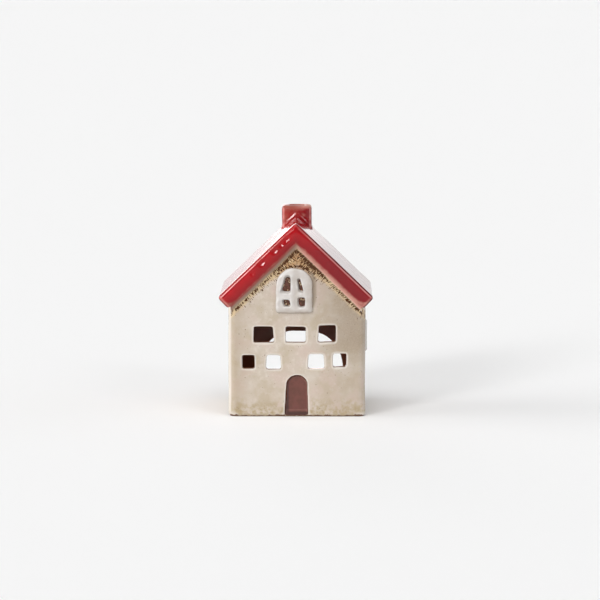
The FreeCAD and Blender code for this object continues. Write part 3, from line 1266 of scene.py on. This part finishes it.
@dataclass(frozen=True)
class Roof:
    """Two thick slabs, mitred at the ridge, under red glaze."""

    house: House
    finish: RedGlaze
    reach: float = 52.25 * MM
    end_radius: float = 1.8 * MM
    gable_radius: float = 0.6 * MM
    # Both gable ends are rounded over as a shallow bow
    bow: float = 0.78 * MM
    bow_start: float = 0.72
    lower_bow: float = 0.28
    ridge_blend: float = 7 * MM
    ridge_passes: int = 90
    smooth_passes: int = 5
    wave: Pair = (16 * MM, 0.12 * MM)
    end_gap: float = 0.2 * MM
    # How far the slab reaches past the apex before it is cut there, as a share of its thickness
    mitre: float = 1.3
    thin_start: float = 2.3 * MM
    thin_end: float = -1.2 * MM
    # On the right slope the thin edge is wider
    thin_extra: float = 0.5 * MM
    # Towards the eaves the thin edge climbs the end of the slab
    tip_height: float = 9 * MM
    tip_fade: float = 1.5 * MM
    tip_blend: float = 2 * MM
    tip_share: float = 0.55
    # Shade is painted on the lower part of each gable end: where it starts above the underside, and where it
    # is full
    shade_start: float = 6 * MM
    shade_end: float = 1.5 * MM
    # A highlight is painted just inside the upper arris, more so on the right slope
    line_inset: float = 1.1 * MM
    line_width: float = 0.36 * MM
    line_shares: Pair = (0.15, 0.5)
    # A painted highlight also runs down the end, more so on the left
    end_inset: float = 1.2 * MM
    end_width: float = 0.5 * MM
    end_shares: Pair = (0.5, 0.3)
    # Right at the arris a dark line is painted as a dark reflection, more so on the right
    outline_inset: float = 0.22 * MM
    outline_width: float = 0.45 * MM
    outline_end_inset: float = 0.4 * MM
    outline_shares: Pair = (0.35, 0.9)
    outline_depth: float = 1.3 * MM
    # How far right of the ridge the right slope's marks are full
    right_blend: float = 8 * MM
    dents: tuple[Dent, ...] = (
        Dent(0.6 * MM, 5.7 * MM, 2.0 * MM, 0.52 * MM),
        Dent(2.5 * MM, 5.7 * MM, 2.0 * MM, 0.52 * MM),
        Dent(5.0 * MM, 5.9 * MM, 2.0 * MM, 0.52 * MM),
        Dent(6.8 * MM, 5.9 * MM, 1.8 * MM, 0.45 * MM),
        Dent(9.9 * MM, 5.9 * MM, 2.1 * MM, 0.52 * MM),
        Dent(11.9 * MM, 5.9 * MM, 2.1 * MM, 0.52 * MM),
        Dent(19.8 * MM, 5.6 * MM, 2.1 * MM, 0.54 * MM),
        Dent(21.7 * MM, 5.6 * MM, 2.1 * MM, 0.54 * MM),
        Dent(28.8 * MM, 5.5 * MM, 1.9 * MM, 0.52 * MM),
    )

    def build(self) -> None:
        """Model both slabs, blend them at the ridge, then part them there."""
        house = self.house
        form = self._slab()
        axes = (True, False, False)
        shaped(form, "MIRROR", use_axis=axes, use_clip=True, merge_threshold=2 * CUT_THRESHOLD)
        self._blend_ridge(form)
        form.location = (house.roof_centre, 0, 0)
        settle(form)
        for dent in self.dents:
            self._dent(form, dent)
        house.open_flue(form, 2 * house.eaves)
        undulate(form, *self.wave)
        mark_arris(form)
        self._mark(form)
        red = self.finish.material()
        for side in Side:
            name = side.name.lower()
            slab = trim(copy_of(form, name), (house.roof_centre, 0, 0), (-side.value, 0, 0))
            hand_over(slab, name + "_roof_glazed", Slot.RED, red, name + "_roof_slab")
        bpy.data.objects.remove(form)

    def _slab(self) -> Piece:
        """Make the right slab, pressed flat on the bench, then set at the roof's pitch and cut at the ridge.

        Returns:
            The slab.
        """
        house = self.house
        reach_y = house.half_depth + house.overhang - self.end_gap
        past = self.mitre * house.roof_thickness
        slab = block("slab", (-past, -reach_y, 0), (self.reach, reach_y, house.roof_thickness))
        along_y = runs_along(1)
        at_end = self.reach - CLOSE
        round_edges(slab, self.end_radius, lambda start, end: along_y(start, end) and start.x > at_end)
        end_y = reach_y - CLOSE
        round_edges(slab, self.gable_radius, lambda start, end: abs(start.y + end.y) > 2 * end_y)
        soften(slab, house.grain, self.smooth_passes)
        points = points_of(slab)
        level = np.clip(points[:, 2] / house.roof_thickness, 0, 1)
        bowed = np.clip((level - self.bow_start) / (1 - self.bow_start), 0, 1) ** 2
        bowed += self.lower_bow * np.clip(1 - 2 * level, 0, 1) ** 2
        for gable in Gable:
            at_gable = gable.value * points[:, 1] > house.half_depth
            group = weigh(slab, "bow", bowed * at_gable)
            depth = -gable.value * self.bow
            shaped(slab, "DISPLACE", direction="Y", strength=depth, mid_level=0, vertex_group=group)
            slab.vertex_groups.clear()
        slab.rotation_euler = Euler((0, house.pitch, 0))
        slab.location = (0, 0, house.apex)
        settle(slab)
        return trim(slab, (0, 0, 0), (-1, 0, 0), close=False)

    def _dent(self, form: Piece, dent: Dent) -> None:
        """Press a finger into the left slab's front edge.

        Args:
            form: both slabs.
            dent: the dent, along from the apex and up from the underside.
        """
        house = self.house
        down = Vector((-math.cos(house.pitch), 0, -math.sin(house.pitch))) * dent.along
        place = Vector((house.roof_centre, -house.half_depth - house.overhang, house.apex))
        place += down + house.roof_normal(Side.LEFT) * dent.up
        press(form, tuple(place), (0, dent.depth, 0), dent.radius)

    def _blend_ridge(self, form: Piece) -> None:
        """Round the ridge with a wet finger.

        Args:
            form: both slabs.
        """
        near = 1 - np.abs(points_of(form)[:, 0]) / self.ridge_blend
        group = weigh(form, "ridge", near)
        shaped(form, "SMOOTH", factor=0.5, iterations=self.ridge_passes, vertex_group=group)
        form.vertex_groups.clear()

    def _mark(self, form: Piece) -> None:
        """Mark the gable ends: where the glaze runs thin, where shade is painted on their lower part, and
        the painted highlights and dark reflection at the arrises.

        Args:
            form: both slabs.
        """
        house = self.house
        x, y, z = points_of(form).T
        across, drop = np.abs(x - house.roof_centre), house.apex - z
        above = across * math.sin(house.pitch) - drop * math.cos(house.pitch)
        from_end = self.reach - across * math.cos(house.pitch) - drop * math.sin(house.pitch)
        outwards = np.abs(y) - house.half_depth
        at_gable = outwards > self.end_gap
        right = np.clip(x / self.right_blend, 0, 1)
        start = self.thin_start + self.thin_extra * right
        thin = np.clip((start - above) / (start - self.thin_end), 0, 1)
        tip = start + self.tip_height * np.exp(-from_end / self.tip_fade) - above
        thin = np.maximum(thin, self.tip_share * np.clip(tip / self.tip_blend, 0, 1))
        mark(form, "thin", at_gable * thin)
        from_top = house.roof_thickness - above
        # Painted highlight lines inside the upper arris and down the end, and a painted dark line at the
        # arris for a dark reflection
        line, end_line, outline_share = (
            np.interp(right, (0, 1), shares)
            for shares in (self.line_shares, self.end_shares, self.outline_shares)
        )
        line *= bell(from_top - self.line_inset, self.line_width)
        end_line *= bell(from_end - self.end_inset, self.end_width)
        mark(form, "edge", at_gable * np.maximum(line, end_line))
        # Painted dark reflection right at the arris
        rim = np.minimum(
            np.abs(from_top - self.outline_inset),
            np.abs(from_end - self.outline_end_inset),
        )
        dark_reflection = outline_share * bell(rim, self.outline_width)
        mark(form, "dark_reflection", dark_reflection * (outwards > house.overhang - self.outline_depth))
        # Painted shade on the lower part of each gable end
        red_shade = (self.shade_start - above) / (self.shade_start - self.shade_end)
        mark(form, "red_shade", at_gable * np.clip(red_shade, 0, 1))


@dataclass(frozen=True)
class Chimney:
    """The stack astride the ridge, with a soft rim, an open flue and a flared foot."""

    house: House
    finish: RedGlaze
    width: float = 17.2 * MM
    depth: float = 16 * MM
    top: float = 115 * MM
    top_gap: float = 0.2 * MM
    corner_radius: float = 3.2 * MM
    rim_radius: float = 1.8 * MM
    rim_segments: int = 5
    flare: float = 0.6 * MM
    joint_height: float = 1.5 * MM
    # It is smoothed before its flue is cut and again after that
    smooth_passes: tuple[int, int] = (3, 12)
    wave: Pair = (8 * MM, 0.35 * MM)
    # The glaze runs thin at the rim, more so on its right: a share, and how it grows along the width
    rim_height: float = 3.5 * MM
    rim_thin: float = 0.9
    rim_shares: Pair = (0.75, 0.35)
    # It is thin and brown on the left, and in one patch
    thin_share: float = 0.46
    thin_fade: float = 0.8
    patch_share: float = 0.55
    patch_place: Pair = (3.4 * MM, 109.5 * MM)
    patch_radius: float = 3.4 * MM
    # Shade is painted towards the right: a share, and how it grows along the width
    shade_shares: Pair = (0.4, 1.4)
    # A highlight is painted along its upright arrises, in a broken line
    line_inset: float = 1.0 * MM
    line_width: float = 0.4 * MM
    line_end: float = 1.5 * MM
    line_share: float = 0.9
    break_share: float = 0.4
    break_waves: Pair = (1 / MM, 0.37 / MM)
    grain: float = 0.35 * MM

    def build(self) -> None:
        """Model, dress and mount the chimney."""
        house = self.house
        ridge = house.apex + house.roof_thickness / math.cos(house.pitch)
        stack = self._post("stack", 0.0, self.top - self.top_gap)
        foot = self._post("foot", self.flare, self.top)
        for side in Side:
            trim(foot, (house.flue_place[0], 0, ridge + self.joint_height), house.roof_normal(side))
        merge([stack, foot])
        before, after = self.smooth_passes
        soften(stack, self.grain, before)
        house.open_flue(stack, 2 * self.top)
        soften(stack, self.grain, after)
        undulate(stack, *self.wave)
        mark_arris(stack)
        self._mark(stack)
        hand_over(stack, "chimney_glazed", Slot.RED, self.finish.material(), "chimney")

    def _mark(self, stack: Piece) -> None:
        """Mark where the glaze runs thin, where shade is painted towards the right and where a highlight is
        painted along the upright arrises.

        Args:
            stack: the chimney.
        """
        x, _, z = points_of(stack).T
        from_middle = x - self.house.flue_place[0]
        across = from_middle / self.width
        rim = np.clip((z - (self.top - self.rim_height)) / self.rim_height, 0, 1)
        rim *= np.clip(self.rim_shares[0] + self.rim_shares[1] * across, 0, 1)
        away = np.hypot(x - self.patch_place[0], z - self.patch_place[1])
        patch = self.patch_share * np.clip(1 - away / self.patch_radius, 0, 1)
        share = self.thin_share * (1 - self.thin_fade * np.clip(0.5 + across, 0, 1))
        mark(stack, "thin", np.maximum(share + (self.rim_thin - share) * rim, patch))
        # Painted shade towards the right
        mark(stack, "red_shade", np.clip(self.shade_shares[0] + self.shade_shares[1] * across, 0, 1))
        # Painted highlight along the upright arrises
        line = bell(self.width / 2 - np.abs(from_middle) - self.line_inset, self.line_width)
        short_wave, long_wave = (np.sin(wave * z) for wave in self.break_waves)
        broken = 1 - self.break_share + self.break_share * short_wave * long_wave
        mark(stack, "edge", self.line_share * line * broken * (z < self.top - self.line_end))

    def _post(self, name: str, extra: float, top: float) -> Piece:
        """Make an upright post, from inside the roof to a height.

        Args:
            name: the object's name.
            extra: how much further it reaches on each side.
            top: its height.

        Returns:
            The post.
        """
        house = self.house
        middle_x, middle_y = house.flue_place
        half_x, half_y = self.width / 2 + extra, self.depth / 2 + extra
        foot = house.apex + house.roof_thickness - self.width / 2 * math.tan(house.pitch)
        low = (middle_x - half_x, middle_y - half_y, foot)
        post = block(name, low, (middle_x + half_x, middle_y + half_y, top))
        round_edges(post, self.corner_radius + extra, runs_along(2))
        return round_edges(
            post,
            self.rim_radius,
            lambda start, end: min(start.z, end.z) > top - CLOSE,
            self.rim_segments,
        )


@dataclass(frozen=True)
class ReliefWindow:
    """An arched relief window with four hand-cut lights, under white glaze."""

    name: str
    node: str
    width: float
    height: float
    thickness: float
    place: Point
    turn: float
    # The lights' corners as hundredths of the window's size, from the middle of its foot
    lights: tuple[Opening, ...] = (
        Opening((-32, 50), (-10.5, 50), (-22.5, 78.5), (-11, 79)),
        Opening((14.5, 50.5), (25.5, 50), (11.5, 73), (18, 74)),
        Opening((-26, 17), (-11, 17), (-28.5, 29), (-12.5, 28.5)),
        Opening((15, 16.5), (29, 16.5), (13.5, 33), (29.5, 33.5)),
    )
    arch_share: float = 0.48
    arch_segments: int = 16
    # Faces round each of its smaller bends
    segments: int = 5
    hollows: tuple[Dent, ...] = ()
    foot_share: float = 0.08
    edge_share: float = 0.6
    flare: float = 1.5
    # Each light was cut from its left, so that side slopes
    lean: float = -2.5
    light_round: float = 5.0
    # How much shade is painted down the middle, at the foot and by the right edge
    valley: float = 0.3
    foot_shade: float = 0.85
    right_shade: float = 0.5
    # The places of those shades, as shares of the window's width
    valley_place: float = 0.05
    valley_width: float = 0.09
    foot_reach: float = 0.16
    right_start: float = 0.2
    right_reach: float = 0.3
    # How far the slab reaches into its wall
    bedding: float = 0.6 * MM
    spare: float = 0.2 * MM
    smooth_passes: int = 24
    wave: Pair = (3.5 * MM, 0.45 * MM)
    grain: float = 0.28 * MM

    @staticmethod
    def _runs_through(start: Vector, end: Vector) -> bool:
        """A test for a cutter's edges that run through the wall."""
        return start.y * end.y < 0

    def build(self, finish: bpy.types.Material) -> None:
        """Model the window, dress it and lute it on its wall.

        Args:
            finish: its glaze.
        """
        half = self.width / 2
        slab = block("relief", (-half, -self.thickness, 0), (half, self.bedding, self.height))
        along_y = runs_along(1)
        round_edges(slab, self.width * self.arch_share, upper_along_y(slab), self.arch_segments)
        round_edges(
            slab,
            self.width * self.foot_share,
            lambda start, end: along_y(start, end) and start.z < CLOSE and abs(start.x) > half - CLOSE,
            self.segments - 1,
        )
        round_edges(
            slab,
            self.edge_share * self.thickness,
            lambda start, end: max(start.y, end.y) < CLOSE - self.thickness,
            self.segments,
        )
        unit = self.width / 100
        for light in self.lights:
            start, end = -self.thickness - self.bedding, self.bedding + self.spare
            tool = light.tool(start, end, unit, self.flare, self.lean)
            tool.scale = (1, 1, self.height / self.width)
            settle(tool)
            round_edges(tool, self.light_round * unit, self._runs_through, self.segments)
            carve(slab, tool)
        soften(slab, self.grain, self.smooth_passes)
        for hollow in self.hollows:
            place = (hollow.along, -self.thickness, hollow.up)
            press(slab, place, (0, hollow.depth, 0), hollow.radius)
        undulate(slab, *self.wave)
        # Painted shade down the middle, at the foot and by the right edge
        x, _, z = (points_of(slab) / self.width).T
        valley = self.valley * bell(x - self.valley_place, self.valley_width)
        foot = self.foot_shade * np.clip(1 - z / self.foot_reach, 0, 1)
        right = self.right_shade * np.clip((x - self.right_start) / self.right_reach, 0, 1)
        mark(slab, "shade", np.maximum.reduce((valley, foot, right)))
        slab.rotation_euler = Euler((0, 0, math.radians(self.turn)))
        slab.location = self.place
        settle(slab)
        mark_arris(slab)
        hand_over(slab, self.name, Slot.WHITE, finish, self.node)


@dataclass(frozen=True)
class Door:
    """The arched door panel, bare and brown, let into the front wall."""

    walls: Walls
    # The leaf leaves a thin gap on its left and above
    leaf: Opening = Opening((-6.5, 0.9), (6.3, 0.9), (-5.1, 22.9), (5.7, 22.9))
    arch_segments: int = 10
    thickness: float = 1.8 * MM
    sunk: float = 1.3 * MM
    step_depth: float = 0.75 * MM
    step_height: float = 4.1 * MM
    # How wide the painted shade is along the edge and at the foot, and how dark
    shade_width: float = 1.3 * MM
    # How far right of its middle the arch's edge gets painted shade, as a share of the arch's radius
    arch_end: float = 0.4
    arch_shade_inset: float = 0.4 * MM
    foot_start: float = 0.9 * MM
    foot_fade: float = 1.2 * MM
    most_shade: float = 0.75
    smooth_passes: int = 5
    wave: Pair = (5 * MM, 0.2 * MM)
    grain: float = 0.3 * MM

    def build(self, finish: bpy.types.Material) -> None:
        """Model, dress and mount the door.

        Args:
            finish: its slip.
        """
        face = -self.walls.house.half_depth
        panel = self.leaf.tool(face + self.sunk, face + self.sunk + self.thickness)
        round_edges(panel, self.walls.door_radius, upper_along_y(panel), self.arch_segments)
        step = self.leaf.tool(face + self.sunk - self.step_depth, face + self.sunk + self.thickness)
        trim(step, (0, 0, self.step_height), (0, 0, 1))
        merge([panel, step])
        soften(panel, self.grain, self.smooth_passes)
        undulate(panel, *self.wave)
        mark_arris(panel)
        mark(panel, "shade", self._shade(panel))
        hand_over(panel, "front_door_bare", Slot.BROWN, finish, "front_door_panel")

    def _shade(self, panel: Piece) -> np.ndarray:
        """Work out where shade is painted on the slip: by the left edge, round the arch and along the foot.

        Args:
            panel: the door, standing in its place.

        Returns:
            A share from 0 to 1 for each point.
        """
        x, _, z = points_of(panel).T
        (left, low), (high_left, high) = self.leaf.low_left, self.leaf.high_left
        radius = self.walls.door_radius
        slant = (high_left - left) / (high - low)
        from_left = x - left * MM - slant * (z - low * MM)
        centre_x = (high_left + self.leaf.high_right[0]) / 2 * MM
        from_arch = radius - np.hypot(x - centre_x, np.clip(z - (high * MM - radius), 0, None))
        from_arch[x > centre_x + self.arch_end * radius] = self.shade_width
        edge = np.clip(1 - np.minimum(from_left, from_arch + self.arch_shade_inset) / self.shade_width, 0, 1)
        foot = np.clip((self.step_height - self.foot_start - z) / self.foot_fade, 0, 1)
        return np.clip(np.maximum(edge, foot), 0, self.most_shade)


@dataclass(frozen=True)
class Studio:
    """Camera, floor and light, as in the photograph."""

    # Worked out from the roof's lines in the photograph
    distance: float = 1.64
    elevation: float = math.radians(6.43)
    azimuth: float = math.radians(0.5)
    target: Point = (1.45 * MM, 0.0, 61.8 * MM)
    lens: float = 171.8
    sensor: float = 36.0
    # The key lamp stands to the front left, low, and casts the long shadow
    key_azimuth: float = math.radians(-32)
    key_elevation: float = math.radians(20)
    key_strength: float = 0.66
    key_size: float = math.radians(20)
    # Its bright middle
    core_strength: float = 0.62
    core_size: float = math.radians(12)
    fill: float = 0.29
    # Where the backdrop shows in gloss: behind the house and low
    behind: Limits = (-0.1, 0.5)
    low: Limits = (0.4, 0.15)
    # A wide lamp overhead, a small one to the upper right, and boards on the left, right and behind:
    # the direction and the strength of each, and how near to its middle it starts and is full
    lamps: tuple[tuple[Point, float, Limits], ...] = (
        ((0, -0.35, 1), 1.9, (0.88, 0.95)),
        ((0.56, -0.68, 0.48), 8.0, (0.99, 0.998)),
        ((-1, 0, 0.2), 3.2, (0.85, 0.96)),
        ((1, 0, 0.2), 0.7, (0.8, 0.95)),
        ((-0.22, 1, 0.1), 3.3, (0.945, 0.98)),
    )
    backdrop: str = "F5F5F5"
    floor_shade: str = "FAFAFA"
    floor_size: float = 60.0

    def direction(self, azimuth: float, elevation: float) -> Vector:
        """Find the direction from the house towards a place.

        Args:
            azimuth: the place's angle to the right of straight in front.
            elevation: its angle above the table.

        Returns:
            The direction, of length 1.
        """
        return Vector(
            (
                math.sin(azimuth) * math.cos(elevation),
                -math.cos(azimuth) * math.cos(elevation),
                math.sin(elevation),
            )
        )

    def build(self) -> None:
        """Set up the whole studio."""
        self._camera()
        self._key()
        self._world()
        self._floor()
        bpy.context.scene.view_settings.view_transform = "Standard"

    def _camera(self) -> None:
        """Place the camera and make it the scene's own."""
        data = bpy.data.cameras.new("camera")
        data.lens = self.lens
        data.sensor_width = self.sensor
        data.clip_end = 2 * self.floor_size
        camera = bpy.data.objects.new("camera", data)
        bpy.context.collection.objects.link(camera)
        towards = self.direction(self.azimuth, self.elevation)
        camera.location = Vector(self.target) + towards * self.distance
        camera.rotation_euler = towards.to_track_quat("Z", "Y").to_euler()
        bpy.context.scene.camera = camera

    def _key(self) -> None:
        """Place the soft key lamp and its brighter middle."""
        towards = self.direction(self.key_azimuth, self.key_elevation)
        lamps = (
            ("key", self.key_strength, self.key_size),
            ("key_core", self.core_strength, self.core_size),
        )
        for name, strength, size in lamps:
            data = bpy.data.lights.new(name, "SUN")
            data.energy = strength
            data.angle = size
            lamp = bpy.data.objects.new(name, data)
            bpy.context.collection.objects.link(lamp)
            lamp.rotation_euler = towards.to_track_quat("Z", "Y").to_euler()

    def _world(self) -> None:
        """A white room: the camera, gloss and glass see its backdrop, and the rest is lit by it."""
        world = bpy.data.worlds.new("studio")
        bpy.context.scene.world = world
        add = Graph(world).add
        place = add(Kind.OUTWARDS)
        axes = add(Kind.AXES, place).node.outputs
        rays = add(Kind.RAYS).node.outputs
        low = add(Kind.STEP, axes["Z"], *self.low)
        behind = add(Kind.TIMES, add(Kind.STEP, axes["Y"], *self.behind), low)
        mirrored = add(Kind.MOST, rays["Is Glossy Ray"], rays["Is Transmission Ray"])
        mirrored = add(Kind.TIMES, mirrored, behind)
        strength = add(Kind.TIMES_PLUS, mirrored, 1.0 - self.fill, self.fill)
        for towards, power, limits in self.lamps:
            facing = add(Kind.FACING, place, Vector(towards).normalized())
            strength = add(Kind.TIMES_PLUS, add(Kind.STEP, facing, *limits), power, strength)
        room = add(Kind.GLOW, "FFFFFF", strength)
        shown = add(Kind.GLOW, self.backdrop, 1.0)
        add(Kind.WORLD, add(Kind.EITHER, rays["Is Camera Ray"], room, shown))

    def _floor(self) -> None:
        """A plain pale floor that takes the shadow."""
        bpy.ops.object.select_all(action="DESELECT")
        bpy.ops.mesh.primitive_plane_add(size=self.floor_size)
        floor = bpy.context.active_object
        floor.name = "floor"
        material = bpy.data.materials.new("pale_floor")
        add = Graph(material).add
        add(Kind.MATERIAL, add(Kind.MATT, self.floor_shade))
        floor.data.materials.append(material)


def dress_frame() -> None:
    """Give the CAD nodes that stay their finishes."""
    # Iron-rich glaze over clay, nearly black in the shade of the chamber, with a soft gloss
    dark = PlainCoat(
        name="dark_brown_glaze",
        colour="2B1C13",
        second="1F140E",
        shade="17100B",
        edge="4A3324",
        roughness=0.25,
        mottle=Pattern(6 * MM, 4),
        grain=Pattern(1.2 * MM, 3),
        grain_depth=0.02 * MM,
    ).material()
    # Thin aluminium, deep-drawn: a mirror that its pressing has made a little dull and wavy
    foil = PlainCoat(
        name="pressed_foil",
        colour="D6D6D8",
        second="C8C8CB",
        shade="B0B0B4",
        edge="E4E4E6",
        roughness=0.22,
        mottle=Pattern(9 * MM, 4),
        grain=Pattern(0.8 * MM, 3),
        grain_depth=0.01 * MM,
        metallic=1.0,
    ).material()
    # Poured white wax: light goes into it and comes out softened
    wax = PlainCoat(
        name="paraffin_wax",
        colour="EFEAE0",
        second="F4F0E8",
        shade="E2DBCB",
        edge="F6F3EC",
        roughness=0.4,
        mottle=Pattern(8 * MM, 4),
        grain=Pattern(1.0 * MM, 3),
        grain_depth=0.01 * MM,
        subsurface=0.6,
    ).material()
    # Waxed cotton thread, matt and lumpy from its braid
    cotton = PlainCoat(
        name="braided_cotton",
        colour="E6E0D0",
        second="CFC7B4",
        shade="A89E88",
        edge="EFEADD",
        roughness=0.9,
        mottle=Pattern(1 * MM, 4),
        grain=Pattern(0.3 * MM, 3),
        grain_depth=0.05 * MM,
    ).material()
    finishes = {
        "base_slab": dark,
        "tealight_cup": foil,
        "wick_sustainer": foil,
        "tealight_wax": wax,
        "tealight_wick": cotton,
    }
    for node, finish in finishes.items():
        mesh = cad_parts[node].data
        mesh.materials.clear()
        mesh.materials.append(finish)


def main() -> None:
    """Build the house, the candle's finishes and the studio, in order."""
    logging.basicConfig(level=logging.INFO, format="%(name)s: %(message)s")
    house = House()
    red = RedGlaze()
    walls = Walls(house, CreamGlaze())
    walls.build()
    Roof(house, red).build()
    Chimney(house, red).build()
    # A thick opaque tin glaze, glossy; its grey-brown is painted shade down its middle, at its foot and by
    # its right edge, and its paler arrises are a glaze break and a painted highlight
    white = PlainCoat(
        name="white_stoneware_glaze",
        colour="D2CDC9",
        second="C6BFB9",
        shade="A39587",
        edge="E0DEDC",
        roughness=0.1,
        mottle=Pattern(5 * MM, 4),
        grain=Pattern(2 * MM, 3),
        grain_depth=0.03 * MM,
    ).material()
    windows = (
        ReliefWindow(
            name="attic_window_glazed",
            node="attic_window_frame",
            width=20.5 * MM,
            height=25.4 * MM,
            thickness=2.8 * MM,
            place=(-1.5 * MM, -house.half_depth, 58.6 * MM),
            turn=0,
            hollows=(
                Dent(1.4 * MM, 5 * MM, 3.4 * MM, 0.8 * MM),
                Dent(1.2 * MM, 12.5 * MM, 3.6 * MM, 0.95 * MM),
                Dent(1.0 * MM, 19.5 * MM, 3.4 * MM, 0.7 * MM),
                Dent(-7.8 * MM, 5.8 * MM, 2.6 * MM, 0.7 * MM),
            ),
        ),
        *(
            ReliefWindow(
                name=side.name.lower() + "_window_glazed",
                node=side.name.lower() + "_window_frame",
                width=14 * MM,
                height=17.6 * MM,
                thickness=thickness,
                place=(side.value * house.half_span, 0, 33.2 * MM),
                turn=side.value * 90,
            )
            for side, thickness in zip(Side, (0.9 * MM, 1.3 * MM))
        ),
    )
    for window in windows:
        window.build(white)
    # Iron-rich liquid clay, brushed on and left bare: matt, and redder where it is thick; its dark left
    # edge, arch and foot are painted shade, and its paler arrises a painted highlight
    brown = PlainCoat(
        name="brown_clay_slip",
        colour="6E3E35",
        second="61382E",
        shade="38201A",
        edge="8F5F55",
        roughness=0.6,
        mottle=Pattern(4 * MM, 4),
        grain=Pattern(0.5 * MM, 3),
        grain_depth=0.03 * MM,
    ).material()
    Door(walls).build(brown)
    dress_frame()
    Studio().build()


if __name__ == "__main__":
    main()
